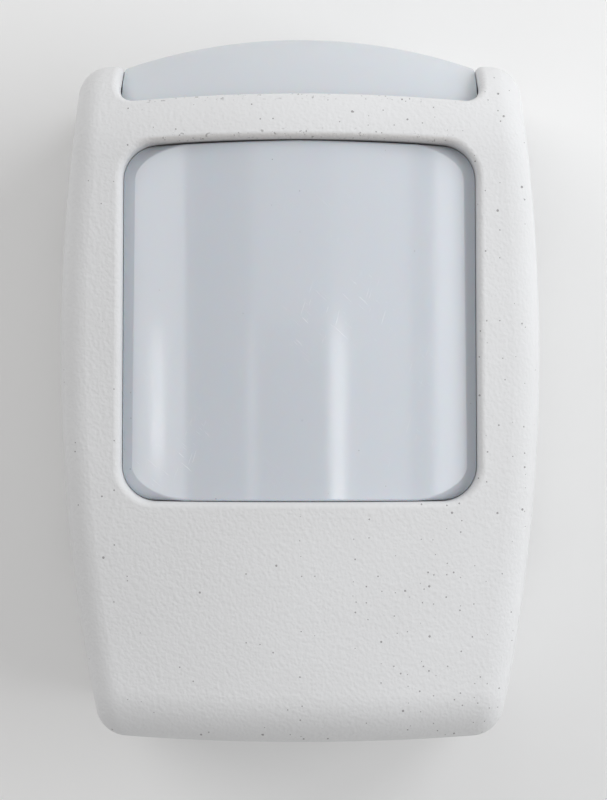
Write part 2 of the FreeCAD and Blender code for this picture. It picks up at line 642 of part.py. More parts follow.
def make_pyro_can():
    """Metal can of the infrared sensor with a rectangular opening in its top."""
    rim_y = BOARD_FACE_Y - SENSOR_STANDOFF
    can_y = rim_y - SENSOR_CAN_HEIGHT
    can = post(0, SENSOR_Z, (can_y, rim_y), SENSOR_CAN_RADIUS)
    can = fillet_where(can, 0.5, lambda p: p.y < can_y + 0.1)
    rim = post(0, SENSOR_Z, (rim_y - 0.6, rim_y), SENSOR_RIM_RADIUS)
    hollow = post(0, SENSOR_Z, (can_y + 0.5, rim_y - 0.6), SENSOR_CAN_RADIUS - 0.4)
    half_x, half_z = SENSOR_OPENING[0] / 2, SENSOR_OPENING[1] / 2
    opening = box((-half_x, half_x), (can_y - 1, can_y + 1), (SENSOR_Z - half_z, SENSOR_Z + half_z))
    return can.fuse(rim).removeSplitter().cut(hollow).cut(opening)


def make_pyro_filter():
    """Dark infrared filter that fills the can's opening."""
    can_y = BOARD_FACE_Y - SENSOR_STANDOFF - SENSOR_CAN_HEIGHT
    half_x = SENSOR_OPENING[0] / 2 - HINGE_CLEARANCE
    half_z = SENSOR_OPENING[1] / 2 - HINGE_CLEARANCE
    plate = box((-half_x, half_x), (can_y + 0.1, can_y + 0.6), (SENSOR_Z - half_z, SENSOR_Z + half_z))
    backing = box((-half_x - 0.45, half_x + 0.45), (can_y + 0.55, can_y + 0.95),
                  (SENSOR_Z - half_z - 0.35, SENSOR_Z + half_z + 0.35))
    return joined([plate, backing])


def make_pyro_leads():
    """Three wire leads from the infrared sensor through the board."""
    top_y = BOARD_FACE_Y - SENSOR_STANDOFF
    return group([post(x, z, (top_y, BOARD_REAR_Y + PIN_TAIL), SENSOR_LEAD_RADIUS)
                  for x, z in sensor_lead_places()])


def make_sensor_shield():
    """Plastic collar around the infrared sensor that keeps insects and draughts away."""
    rear_y = BOARD_FACE_Y
    front_y = rear_y - SHIELD_HEIGHT
    ring = post(0, SENSOR_Z, (front_y, rear_y), SHIELD_RADIUS)
    ring = fillet_where(ring, 0.6, lambda p: p.y < front_y + 0.1)
    cone = Part.makeCone(SENSOR_RIM_RADIUS + 0.3, SHIELD_RADIUS - 0.8, SHIELD_HEIGHT + 0.1,
                         Vector(0, rear_y, SENSOR_Z), Vector(0, -1, 0))
    foot = box((-SHIELD_FOOT, SHIELD_FOOT), (rear_y - 1.2, rear_y), (SENSOR_Z - 2.2, SENSOR_Z + 2.2))
    return joined([ring, foot]).cut(cone)


def make_light_guide():
    """Clear bar that carries the indicator light up into the upper lens."""
    front_y, rear_y = GUIDE_Y
    foot_z, head_z = GUIDE_Z
    bar = box((-GUIDE_HALF_WIDTH, GUIDE_HALF_WIDTH), GUIDE_Y, GUIDE_Z)
    bar = fillet_where(bar, 1.2, lambda p: p.z > head_z - 0.1 or p.y < front_y + 0.1)
    legs = both_sides(box((GUIDE_HALF_WIDTH - 1.4, GUIDE_HALF_WIDTH), (rear_y - 1, BOARD_FACE_Y),
                          (foot_z, foot_z + 2)))
    return joined([bar] + legs)


def make_indicator_leds():
    """Three light-emitting diodes behind the light guide."""
    leds = []
    tip_y = BOARD_FACE_Y - LED_HEIGHT
    for x in (-LED_PITCH, 0, LED_PITCH):
        foot = post(x, LED_Z, (BOARD_FACE_Y - 1.0, BOARD_FACE_Y), LED_RADIUS + 0.25)
        body = post(x, LED_Z, (tip_y, BOARD_FACE_Y), LED_RADIUS)
        tip = Part.makeSphere(LED_RADIUS, Vector(x, tip_y, LED_Z))
        leds.append(joined([foot, body, tip]))
    return group(leds)


def terminal_places():
    """Middle of each terminal along X."""
    first = TERMINAL_X - TERMINAL_PITCH * (TERMINAL_COUNT - 1) / 2
    return [first + TERMINAL_PITCH * index for index in range(TERMINAL_COUNT)]


def make_terminal_housing():
    """Plastic block with a wire entry and a screw well for each terminal."""
    half = TERMINAL_PITCH * TERMINAL_COUNT / 2
    housing = box((TERMINAL_X - half, TERMINAL_X + half), (TERMINAL_FRONT_Y, BOARD_FACE_Y),
                  (TERMINAL_Z - TERMINAL_DEPTH / 2, TERMINAL_Z + TERMINAL_DEPTH / 2))
    upper_edges = [edge for edge in housing.Edges
                   if middle(edge).y < TERMINAL_FRONT_Y + 0.1 and middle(edge).z > TERMINAL_Z + 1]
    housing = housing.makeChamfer(1.2, upper_edges)
    for x in terminal_places():
        housing = housing.cut(post(x, TERMINAL_Z, (TERMINAL_FRONT_Y - 1, TERMINAL_FRONT_Y + 3.2), 1.9))
        housing = housing.cut(box((x - 1.6, x + 1.6), (TERMINAL_FRONT_Y + 3.0, BOARD_FACE_Y - 1.0),
                                  (TERMINAL_Z - TERMINAL_DEPTH, TERMINAL_Z + 2.2)))
    return housing


def make_terminal_clamps():
    """Metal clamp cage inside each wire entry."""
    cages = []
    for x in terminal_places():
        cage = box((x - 1.5, x + 1.5), (TERMINAL_FRONT_Y + 3.4, BOARD_FACE_Y - 1.2),
                   (TERMINAL_Z - 2.6, TERMINAL_Z + 2.0))
        cage = cage.cut(box((x - 1.1, x + 1.1), (TERMINAL_FRONT_Y + 4.2, BOARD_FACE_Y - 1.8),
                            (TERMINAL_Z - 5, TERMINAL_Z + 5)))
        cages.append(cage)
    return group(cages)


def slotted_head(x, z, front_y, radius, thickness, slot_width):
    """Screw head with a straight slot, seen from the front."""
    head = post(x, z, (front_y, front_y + thickness), radius)
    slot = box((x - radius - 1, x + radius + 1), (front_y - 1, front_y + thickness / 2),
               (z - slot_width / 2, z + slot_width / 2))
    return head.cut(slot)


def make_terminal_screws():
    """Slotted screw in each terminal's well."""
    return group([slotted_head(x, TERMINAL_Z, TERMINAL_FRONT_Y + 0.9, 1.75, 2.0, 0.5)
                  for x in terminal_places()])


def make_relay():
    """Sealed alarm relay."""
    case = box(RELAY_X, (BOARD_FACE_Y - RELAY_HEIGHT, BOARD_FACE_Y - 0.1), RELAY_Z)
    return fillet_where(case, 0.6, lambda p: p.y < BOARD_FACE_Y - 1)


def chip(x, z, width, height, thickness):
    """Moulded chip body that stands just above the board."""
    body = box((x - width / 2, x + width / 2), (BOARD_FACE_Y - 0.15 - thickness, BOARD_FACE_Y - 0.15),
               (z - height / 2, z + height / 2))
    body = body.makeChamfer(0.25, [edge for edge in body.Edges
                                   if middle(edge).y < BOARD_FACE_Y - thickness - 0.1])
    return body.cut(post(x - width / 2 + 1.0, z - height / 2 + 1.0,
                         (BOARD_FACE_Y - thickness - 1, BOARD_FACE_Y - thickness), 0.4))


def chip_legs(layout):
    """Gull-wing legs along both long sides of a chip."""
    legs = []
    for index in range(layout["pins"]):
        x = layout["x"] + (index - (layout["pins"] - 1) / 2) * CHIP_PIN_PITCH
        width = (x - 0.2, x + 0.2)
        for side in (-1, 1):
            edge_z = layout["z"] + side * layout["height"] / 2
            bend = (edge_z + side * 0.3, edge_z + side * 0.5)
            upper = box(width, (BOARD_FACE_Y - 0.95, BOARD_FACE_Y - 0.75), (edge_z, bend[1]))
            riser = box(width, (BOARD_FACE_Y - 0.95, BOARD_FACE_Y), bend)
            foot = box(width, (BOARD_FACE_Y - 0.2, BOARD_FACE_Y), (bend[0], edge_z + side * 1.1))
            legs.append(joined([upper, riser, foot]))
    return legs


def make_chip(layout):
    return chip(layout["x"], layout["z"], layout["width"], layout["height"], layout["thickness"])


def make_crystal():
    """Metal-cased timing crystal lying near the controller."""
    case = box(CRYSTAL_X, (BOARD_FACE_Y - CRYSTAL_HEIGHT, BOARD_FACE_Y), CRYSTAL_Z)
    return fillet_along_y(case, 1.8)


def make_capacitors():
    """Upright electrolytic capacitors with a rolled groove near the foot."""
    cans = []
    for x, z, radius, height in CAPACITORS:
        can = post(x, z, (BOARD_FACE_Y - height, BOARD_FACE_Y), radius)
        can = fillet_where(can, 0.4, lambda p, top=BOARD_FACE_Y - height: p.y < top + 0.1)
        groove = tube(x, z, (BOARD_FACE_Y - 1.8, BOARD_FACE_Y - 1.2), radius + 1, radius - 0.25)
        cans.append(can.cut(groove))
    return group(cans)


def small_chips(places, length, width, thickness):
    """Rectangular surface-mount parts, each at (x, z)."""
    return group([box((x - length / 2, x + length / 2), (BOARD_FACE_Y - thickness, BOARD_FACE_Y),
                      (z - width / 2, z + width / 2)) for x, z in places])


def make_resistors():
    """Surface-mount resistors in two tidy rows and a column."""
    places = [(-18.0 + 3.2 * index, -4.0) for index in range(5)]
    places += [(8.0 + 3.2 * index, 1.8) for index in range(2)]
    places += [(21.5, -6.0 - 2.2 * index) for index in range(3)]
    return small_chips(places, *SMALL_CHIP, 0.55)


def make_ceramic_capacitors():
    """Surface-mount ceramic capacitors."""
    places = [(-20.5, -8.0 - 2.4 * index) for index in range(3)]
    places += [(9.0 + 3.2 * index, -8.4) for index in range(3)]
    places += [(10.5, 12.0), (10.5, 14.4), (-11.0, 12.0), (-11.0, 14.4)]
    return small_chips(places, *SMALL_CHIP, 1.1)


def make_varistors():
    """Disc surge suppressors that stand between the relay and the terminals."""
    discs = []
    centre_y = BOARD_FACE_Y - VARISTOR_RADIUS - 1.1
    for x in VARISTOR_X:
        disc = rod((x - VARISTOR_THICK / 2, centre_y, VARISTOR_Z), (1, 0, 0), VARISTOR_THICK, VARISTOR_RADIUS)
        discs.append(disc.makeFillet(0.5, [edge for edge in disc.Edges if edge.Closed]))
    return group(discs)


def jumper_places():
    """Two columns and three rows of header pins."""
    return [(JUMPER_X + column * JUMPER_PITCH, JUMPER_Z + row * JUMPER_PITCH)
            for column in (-0.5, 0.5) for row in (-1, 0, 1)]


def make_jumper_header():
    """Plastic strip that carries the header pins."""
    strip = box((JUMPER_X - JUMPER_PITCH, JUMPER_X + JUMPER_PITCH), (BOARD_FACE_Y - 2.5, BOARD_FACE_Y),
                (JUMPER_Z - 1.5 * JUMPER_PITCH, JUMPER_Z + 1.5 * JUMPER_PITCH))
    for x, z in jumper_places():
        half = JUMPER_PIN_HALF + 0.02
        socket = box((x - half, x + half), (BOARD_FACE_Y - 3, BOARD_FACE_Y + 1), (z - half, z + half))
        strip = strip.cut(socket)
    return strip


def make_jumper_pins():
    """Square header pins."""
    half = JUMPER_PIN_HALF
    return group([box((x - half, x + half), (BOARD_FACE_Y - 8.4, BOARD_FACE_Y - 0.1), (z - half, z + half))
                  for x, z in jumper_places()])


def make_jumper_caps():
    """Slip-on jumper caps that bridge two pins each."""
    caps = []
    for row in (-1, 1):
        z = JUMPER_Z + row * JUMPER_PITCH
        cap = box((JUMPER_X - 2.4, JUMPER_X + 2.4), (BOARD_FACE_Y - JUMPER_CAP_TOP, BOARD_FACE_Y - 2.6),
                  (z - 1.2, z + 1.2))
        cap = fillet_along_y(cap, 0.4)
        for column in (-0.5, 0.5):
            x = JUMPER_X + column * JUMPER_PITCH
            cap = cap.cut(box((x - 0.4, x + 0.4), (BOARD_FACE_Y - 9, BOARD_FACE_Y - 2), (z - 0.4, z + 0.4)))
        caps.append(cap)
    return group(caps)


def make_trimmer_body():
    """Square housing of the sensitivity adjuster with a round well."""
    half = TRIMMER_SIZE / 2
    front_y = BOARD_FACE_Y - TRIMMER_HEIGHT
    body = box((TRIMMER_X - half, TRIMMER_X + half), (front_y, BOARD_FACE_Y),
               (TRIMMER_Z - half, TRIMMER_Z + half))
    body = fillet_along_y(body, 0.5)
    return body.cut(post(TRIMMER_X, TRIMMER_Z, (front_y - 1, BOARD_FACE_Y - 0.8),
                         TRIMMER_ROTOR_RADIUS + HINGE_CLEARANCE))


def make_trimmer_rotor():
    """Turning knob of the sensitivity adjuster, with a cross slot and a pointer."""
    front_y = BOARD_FACE_Y - TRIMMER_HEIGHT - 0.6
    knob = post(TRIMMER_X, TRIMMER_Z, (front_y, BOARD_FACE_Y - 0.9), TRIMMER_ROTOR_RADIUS)
    depth = (front_y - 1, front_y + 0.9)
    arm = TRIMMER_ROTOR_RADIUS - 0.6
    cross = joined([box((TRIMMER_X - arm, TRIMMER_X + arm), depth, (TRIMMER_Z - 0.35, TRIMMER_Z + 0.35)),
                    box((TRIMMER_X - 0.35, TRIMMER_X + 0.35), depth, (TRIMMER_Z - arm, TRIMMER_Z + arm))])
    pointer = box((TRIMMER_X - 0.2, TRIMMER_X + 0.2), depth, (TRIMMER_Z + arm, TRIMMER_Z + arm + 1))
    return knob.cut(cross).cut(pointer)


def make_tamper_body():
    """Housing of the tamper switch with a guide hole for its plunger."""
    half = TAMPER_BODY / 2
    front_y = BOARD_FACE_Y - TAMPER_BODY_HEIGHT
    body = box((TAMPER_X - half, TAMPER_X + half), (front_y, BOARD_FACE_Y),
               (TAMPER_Z - half, TAMPER_Z + half))
    body = fillet_along_y(body, 0.6)
    guide = post(TAMPER_X, TAMPER_Z, (front_y - 1, front_y + 1), TAMPER_PLUNGER_RADIUS + HINGE_CLEARANCE)
    body = body.cut(guide)
    return body.cut(post(TAMPER_X, TAMPER_Z, (front_y + 0.8, BOARD_FACE_Y - 0.6), 2.2))


def make_tamper_plunger():
    """Push rod of the tamper switch with a collar that keeps it in the housing."""
    front_y = BOARD_FACE_Y - TAMPER_BODY_HEIGHT
    stem = post(TAMPER_X, TAMPER_Z, (TAMPER_PLUNGER_TOP_Y, front_y + 1.2), TAMPER_PLUNGER_RADIUS)
    stem = fillet_where(stem, 0.5, lambda p: p.y < TAMPER_PLUNGER_TOP_Y + 0.1)
    collar = post(TAMPER_X, TAMPER_Z, (front_y + 0.9, front_y + 1.3), 2.0)
    return joined([stem, collar])


def make_tamper_spring():
    """Coil spring under the plunger."""
    top_y = BOARD_FACE_Y - TAMPER_BODY_HEIGHT + 1.4
    bottom_y = BOARD_FACE_Y - 0.7
    wire_radius = SPRING_WIRE_RADIUS
    height = bottom_y - top_y - 2 * wire_radius
    helix = Part.makeHelix(height / SPRING_TURNS, height, SPRING_RADIUS)
    profile = Part.Wire(Part.makeCircle(wire_radius, Vector(SPRING_RADIUS, 0, 0), Vector(0, 1, 0)))
    spring = Part.Wire(helix).makePipeShell([profile], True, True)
    spring.rotate(Vector(0, 0, 0), Vector(1, 0, 0), 90)
    spring.translate(Vector(TAMPER_X, bottom_y - wire_radius, TAMPER_Z))
    return spring


def make_board_screw():
    """Pan-head screw that clamps the board to the base through the slot."""
    head_rear_y = BOARD_FACE_Y - BOARD_CLEARANCE
    head = slotted_head(FIX_SCREW_X, FIX_SCREW_Z, head_rear_y - 1.8, FIX_HEAD_RADIUS, 1.8, 0.8)
    shank_end_y = BOARD_REAR_Y + FIX_THREAD_DEPTH - 0.5
    shank = post(FIX_SCREW_X, FIX_SCREW_Z, (head_rear_y - 0.5, shank_end_y), FIX_SCREW_RADIUS - 0.05)
    return joined([head, shank])


# --- Every node and its shape ---------------------------------------------------
NODES = {
    "front_cover": make_front_cover,
    "main_lens": make_main_lens,
    "lens_retainer": make_lens_retainer,
    "upper_lens": make_upper_lens,
    "rear_base": make_rear_base,
    "circuit_board": make_circuit_board,
    "board_screw": make_board_screw,
    "pyro_can": make_pyro_can,
    "pyro_filter": make_pyro_filter,
    "pyro_leads": make_pyro_leads,
    "sensor_shield": make_sensor_shield,
    "light_guide": make_light_guide,
    "indicator_leds": make_indicator_leds,
    "terminal_housing": make_terminal_housing,
    "terminal_clamps": make_terminal_clamps,
    "terminal_screws": make_terminal_screws,
    "alarm_relay": make_relay,
    "controller_chip": lambda: make_chip(CONTROLLER),
    "amplifier_chip": lambda: make_chip(AMPLIFIER),
    "chip_legs": lambda: group(chip_legs(CONTROLLER) + chip_legs(AMPLIFIER)),
    "timing_crystal": make_crystal,
    "electrolytic_capacitors": make_capacitors,
    "ceramic_capacitors": make_ceramic_capacitors,
    "resistors": make_resistors,
    "varistors": make_varistors,
    "jumper_header": make_jumper_header,
    "jumper_pins": make_jumper_pins,
    "jumper_caps": make_jumper_caps,
    "trimmer_body": make_trimmer_body,
    "trimmer_rotor": make_trimmer_rotor,
    "tamper_body": make_tamper_body,
    "tamper_plunger": make_tamper_plunger,
    "tamper_spring": make_tamper_spring,
}

os.makedirs("parts", exist_ok=True)
for node, make in NODES.items():
    shape = make()
    print(node, "valid" if shape.isValid() else "INVALID", len(shape.Solids), round(shape.Volume, 2))
    shape.exportStep("parts/" + node + ".step")
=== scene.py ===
"""Looks, light and camera for the wall-mounted motion sensor.

Everything is in metres, in the CAD model's frame: +Z up, the rear face on y = 0 and
the lens looking along -Y.  The sensor lies with its back on a pale table top, which
is the upright backdrop just behind y = 0, and the camera looks straight at its front.
"""
import json
import math

import bpy
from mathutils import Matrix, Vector
from mathutils.geometry import convex_hull_2d


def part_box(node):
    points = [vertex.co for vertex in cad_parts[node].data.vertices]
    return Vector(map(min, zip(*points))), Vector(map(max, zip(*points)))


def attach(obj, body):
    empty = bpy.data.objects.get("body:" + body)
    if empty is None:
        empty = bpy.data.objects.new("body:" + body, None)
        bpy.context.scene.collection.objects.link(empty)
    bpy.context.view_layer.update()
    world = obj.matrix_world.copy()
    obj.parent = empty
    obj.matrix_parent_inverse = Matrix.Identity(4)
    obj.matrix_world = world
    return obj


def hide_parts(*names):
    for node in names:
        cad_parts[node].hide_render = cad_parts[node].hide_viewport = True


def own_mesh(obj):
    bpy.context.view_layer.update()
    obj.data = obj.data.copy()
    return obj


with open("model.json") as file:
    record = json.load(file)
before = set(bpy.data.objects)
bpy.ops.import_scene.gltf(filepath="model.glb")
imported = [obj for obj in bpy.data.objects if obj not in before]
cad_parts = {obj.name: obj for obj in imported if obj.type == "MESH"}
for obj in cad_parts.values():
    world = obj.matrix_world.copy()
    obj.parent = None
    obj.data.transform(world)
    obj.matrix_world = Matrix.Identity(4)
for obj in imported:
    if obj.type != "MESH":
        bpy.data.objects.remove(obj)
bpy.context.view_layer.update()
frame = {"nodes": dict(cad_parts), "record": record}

MM = 0.001

# --- Places taken from the frame ------------------------------------------------
cover_low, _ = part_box("front_cover")
lens_low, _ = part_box("main_lens")
FRONT_Y = cover_low[1]
LENS_FRONT_Y = lens_low[1]

# --- Camera -------------------------------------------------------------------
CAMERA_DISTANCE = 0.260            # from the foremost point of the cover
CAMERA_SHIFT_X = 0.55 * MM
CAMERA_HEIGHT = -2.2 * MM
FOCAL_LENGTH = 87.75
SENSOR_SIZE = 36.0
CLIP_START = 10.0 * MM

# --- Light --------------------------------------------------------------------
WORLD_COLOUR = (1.0, 0.992, 0.99)
WORLD_STRENGTH = 0.43
SOFT_BOXES = (                     # name, place, side length, power, colour
    ("key_upper_right", (0.30, -0.20, 0.25), 0.20, 0.57, (0.965, 0.98, 1.0)),
    ("key_right", (0.75, -0.60, 0.0), 0.60, 3.2, (0.97, 0.985, 1.0)),
    ("fill_upper_left", (-0.55, -0.60, 0.50), 0.60, 2.1, (1.0, 0.995, 0.99)),
)

# --- Reflections in the main lens -----------------------------------------------
# A reflecting card is placed so that the camera sees it in this part of the lens:
# (name, left and right edge, lower and upper edge, radiance), in mm on the lens.
LENS_RADIUS = 88.0 * MM
CARD_DISTANCE = 0.33
CARDS = (
    ("card_far_left", (-22.6, -15.2), (-30.0, 45.0), 2.6),
    ("card_left_streak", (-20.0, -18.2), (-11.0, 6.5), 4.0),
    ("card_left_line", (-7.0, -5.8), (-30.0, 7.2), 1.6),
    ("card_above", (-6.5, 4.2), (7.4, 45.0), 0.8),
    ("card_right_strip", (4.2, 6.2), (-30.0, 7.6), 4.5),
    ("card_right", (4.2, 14.8), (-30.0, 45.0), 1.2),
    ("card_far_right", (18.2, 22.6), (-30.0, 45.0), 2.8),
)

# --- Dust and painted shade on the casing ---------------------------------------
TOP_ARCH_RADIUS = 460.0 * MM       # arch of the window's top edge and of the bar above it
BAR_EDGE_Z = 39.0 * MM             # upper edge of the bar above the window, at its middle
WINDOW_TOP_Z = 33.4 * MM           # front edge of the window's top, at its middle
REVEAL_Z = 33.0 * MM               # inside the window's top, just below that edge: middle of the painted shade band
DUST_AND_SHADE_FULL_X = 19.0 * MM            # the dust and the painted reveal shade are even up to here on both sides, and gone from here on
DUST_AND_SHADE_END_X = 23.0 * MM             # and gone from here on
SPECK_STRENGTH = 0.62              # how far a speck's colour goes towards the dark one

# --- Table top ----------------------------------------------------------------
BACKDROP_Y = 0.4 * MM
BACKDROP_RADIUS = 1.5
BACKDROP_INSET = 1.0 * MM          # how far the hole behind the sensor stays inside its outline
REAR_FACE_DEPTH = 0.05 * MM


# --- Node helpers ----------------------------------------------------------------
class Recipe:
    """A material under construction, with short calls for the nodes it uses."""

    def __init__(self, name):
        self.material = bpy.data.materials.new(name)
        self.material.use_nodes = True
        self.tree = self.material.node_tree
        self.tree.nodes.clear()
        self.output = self.tree.nodes.new("ShaderNodeOutputMaterial")
        self.shader = self.tree.nodes.new("ShaderNodeBsdfPrincipled")
        self.link(self.shader.outputs["BSDF"], self.output.inputs["Surface"])
        coordinates = self.add("ShaderNodeTexCoord")
        self.place = coordinates.outputs["Object"]
        self.facing = coordinates.outputs["Normal"]

    def add(self, kind, **settings):
        node = self.tree.nodes.new(kind)
        for key, value in settings.items():
            setattr(node, key, value)
        return node

    def link(self, source, target):
        self.tree.links.new(source, target)

    def feed(self, socket, value):
        """Link another node's output, or set a plain value."""
        if isinstance(value, bpy.types.NodeSocket):
            self.link(value, socket)
        else:
            socket.default_value = value

    def set(self, **values):
        """Plain values on the shader's own sockets; _ stands for a space."""
        for key, value in values.items():
            self.shader.inputs[key.replace("_", " ")].default_value = value
        return self

    def math(self, operation, a, b=0.0, c=0.0, clamp=False):
        node = self.add("ShaderNodeMath", operation=operation, use_clamp=clamp)
        for socket, value in zip(node.inputs, (a, b, c)):
            self.feed(socket, value)
        return node.outputs[0]

    def mix(self, factor, a, b):
        """Colour mix of a and b: sockets 6, 7 and 2 are the Mix node's colours."""
        node = self.add("ShaderNodeMix", data_type="RGBA")
        self.feed(node.inputs["Factor"], factor)
        for socket, value in ((node.inputs[6], a), (node.inputs[7], b)):
            self.feed(socket, value if isinstance(value, bpy.types.NodeSocket) else (*value[:3], 1.0))
        return node.outputs[2]

    def ramp(self, value, low, high, start=0.0, end=1.0):
        """Smooth step of value from low to high, mapped to start and end."""
        node = self.add("ShaderNodeMapRange", interpolation_type="SMOOTHSTEP", clamp=True)
        for key, item in (("Value", value), ("From Min", low), ("From Max", high),
                          ("To Min", start), ("To Max", end)):
            self.feed(node.inputs[key], item)
        return node.outputs["Result"]

    def stretched(self, scale, rotation=(0.0, 0.0, 0.0)):
        """Object coordinates turned back by rotation, then with their own scale along each axis."""
        node = self.add("ShaderNodeMapping", vector_type="TEXTURE")
        self.link(self.place, node.inputs["Vector"])
        node.inputs["Scale"].default_value = [1.0 / factor for factor in scale]
        node.inputs["Rotation"].default_value = rotation
        return node.outputs["Vector"]

    def noise(self, scale, detail=2.0, rough=0.5, vector=None):
        node = self.add("ShaderNodeTexNoise")
        self.link(vector or self.place, node.inputs["Vector"])
        node.inputs["Scale"].default_value = scale
        node.inputs["Detail"].default_value = detail
        node.inputs["Roughness"].default_value = rough
        return node.outputs["Fac"]

    def front_plane(self):
        """Object coordinates seen from the front: X, Z."""
        x, _, z = self.axes()
        node = self.add("ShaderNodeCombineXYZ")
        self.link(x, node.inputs["X"])
        self.link(z, node.inputs["Y"])
        return node.outputs["Vector"]

    def cells(self, scale):
        """Cells over the front: (distance to the cell's point in metres, two random values)."""
        node = self.add("ShaderNodeTexVoronoi", feature="F1", voronoi_dimensions="2D")
        self.link(self.front_plane(), node.inputs["Vector"])
        node.inputs["Scale"].default_value = scale
        split = self.add("ShaderNodeSeparateColor")
        self.link(node.outputs["Color"], split.inputs["Color"])
        distance = self.math("DIVIDE", node.outputs["Distance"], scale)
        return distance, split.outputs["Red"], split.outputs["Green"]

    def axes(self):
        node = self.add("ShaderNodeSeparateXYZ")
        self.link(self.place, node.inputs["Vector"])
        return node.outputs["X"], node.outputs["Y"], node.outputs["Z"]

    def faces_front(self):
        """1 where the surface looks forwards, 0 on the side, top and bottom walls."""
        node = self.add("ShaderNodeSeparateXYZ")
        self.link(self.facing, node.inputs["Vector"])
        return self.ramp(self.math("MULTIPLY", node.outputs["Y"], -1.0), 0.25, 0.45)

    def bump(self, height, depth, strength=1.0, under=None):
        node = self.add("ShaderNodeBump")
        node.inputs["Distance"].default_value = depth
        node.inputs["Strength"].default_value = strength
        self.feed(node.inputs["Height"], height)
        if under is not None:
            self.link(under, node.inputs["Normal"])
        return node.outputs["Normal"]

    def finish_with(self, colour=None, roughness=None, normal=None):
        for key, value in (("Base Color", colour), ("Roughness", roughness), ("Normal", normal)):
            if isinstance(value, tuple):
                value = (*value[:3], 1.0)
            if value is not None:
                self.feed(self.shader.inputs[key], value)
        return self.material


def add_specks(recipe, colour, scale, radius, share, mask, dark):
    """Round dark specks of dust: one in some of the cells, where mask allows."""
    distance, pick, size = recipe.cells(scale)
    # A speck's own radius is 0.55 to 1.15 times the one given.
    reach = recipe.math("MULTIPLY_ADD", size, radius * 0.6, radius * 0.55)
    inside = recipe.math("LESS_THAN", distance, reach)
    chosen = recipe.math("LESS_THAN", pick, recipe.math("MULTIPLY", mask, share))
    amount = recipe.math("MULTIPLY", inside, chosen)
    amount = recipe.math("MULTIPLY", amount, SPECK_STRENGTH)
    return recipe.mix(amount, colour, dark)


def near(recipe, value, centre, half):
    """1 close to centre, falling to 0 at half on both sides."""
    offset = recipe.math("ABSOLUTE", recipe.math("SUBTRACT", value, centre))
    return recipe.ramp(offset, half * 0.4, half, 1.0, 0.0)


# --- Casing ----------------------------------------------------------------------
def moulded_grain(recipe, depth=0.10 * MM):
    """Normal of the fine leather-like grain on the moulded casing."""
    wrinkles = recipe.noise(1700.0, 2.0, 0.45)
    pebble = recipe.add("ShaderNodeTexVoronoi", feature="SMOOTH_F1")
    recipe.link(recipe.place, pebble.inputs["Vector"])
    pebble.inputs["Scale"].default_value = 2300.0
    height = recipe.math("MULTIPLY_ADD", pebble.outputs["Distance"], 0.6, wrinkles)
    return recipe.bump(height, depth, 0.7)


def add_dust_and_reveal_shade(recipe, colour, x, z, dark):
    """Dust along the bar's upper edge and the window's top edge, and painted shade in the reveal above the
    window, which faces down, away from the light.
    """
    drop = recipe.math("MULTIPLY", recipe.math("MULTIPLY", x, x), 0.5 / TOP_ARCH_RADIUS)
    level = recipe.math("ADD", z, drop)
    between = recipe.ramp(recipe.math("ABSOLUTE", x), DUST_AND_SHADE_FULL_X, DUST_AND_SHADE_END_X, 1.0, 0.0)
    brow = near(recipe, level, BAR_EDGE_Z, 1.0 * MM)
    sill = near(recipe, level, WINDOW_TOP_Z, 1.0 * MM)
    # Painted shade: a brownish darkening in the reveal above the window, standing in for the shade where
    # it faces down, away from the light.
    reveal_shade = recipe.math("MULTIPLY", near(recipe, level, REVEAL_Z, 0.7 * MM), between)
    colour = recipe.mix(recipe.math("MULTIPLY", reveal_shade, 0.35), colour, (0.50, 0.46, 0.43))
    bits = recipe.ramp(recipe.noise(1900.0, 2.0), 0.62, 0.70)
    amount = recipe.math("MULTIPLY", recipe.math("MAXIMUM", brow, sill), bits)
    amount = recipe.math("MULTIPLY", recipe.math("MULTIPLY", amount, between), 0.5)
    return recipe.mix(amount, colour, dark)


def cover_material():
    """Off-white moulded casing with fine grain, dust specks, dirt along its edges and painted shade in the
    reveal above the window.
    """
    recipe = Recipe("cover_moulded_plastic").set(IOR=1.5, Specular_IOR_Level=0.32)
    x, _, z = recipe.axes()
    tone = recipe.noise(45.0, 3.0)
    colour = recipe.mix(recipe.ramp(tone, 0.35, 0.7), (0.745, 0.748, 0.752), (0.77, 0.774, 0.78))
    dark = (0.11, 0.10, 0.10)
    right = recipe.ramp(x, -20 * MM, 30 * MM, 0.22, 1.0)
    low = recipe.ramp(z, -50 * MM, -38 * MM, 1.5, 0.0)
    patchy = recipe.ramp(recipe.noise(60.0, 2.0), 0.38, 0.62, 0.45, 1.0)
    mask = recipe.math("MULTIPLY", recipe.math("MAXIMUM", right, low), patchy)
    mask = recipe.math("MULTIPLY", mask, recipe.faces_front())
    colour = add_specks(recipe, colour, 300.0, 0.15 * MM, 0.50, mask, dark)
    colour = add_specks(recipe, colour, 560.0, 0.10 * MM, 0.45, mask, dark)
    colour = add_dust_and_reveal_shade(recipe, colour, x, z, dark)
    rough = recipe.ramp(recipe.noise(300.0, 2.0), 0.3, 0.7, 0.50, 0.60)
    return recipe.finish_with(colour, rough, moulded_grain(recipe))


def base_material():
    """The wall plate: the same plastic with a plainer face."""
    recipe = Recipe("base_moulded_plastic").set(IOR=1.5, Specular_IOR_Level=0.32)
    tone = recipe.noise(60.0, 3.0)
    colour = recipe.mix(recipe.ramp(tone, 0.35, 0.7), (0.72, 0.722, 0.725), (0.745, 0.748, 0.752))
    rough = recipe.ramp(recipe.noise(260.0, 2.0), 0.3, 0.7, 0.46, 0.58)
    return recipe.finish_with(colour, rough, moulded_grain(recipe, 0.07 * MM))


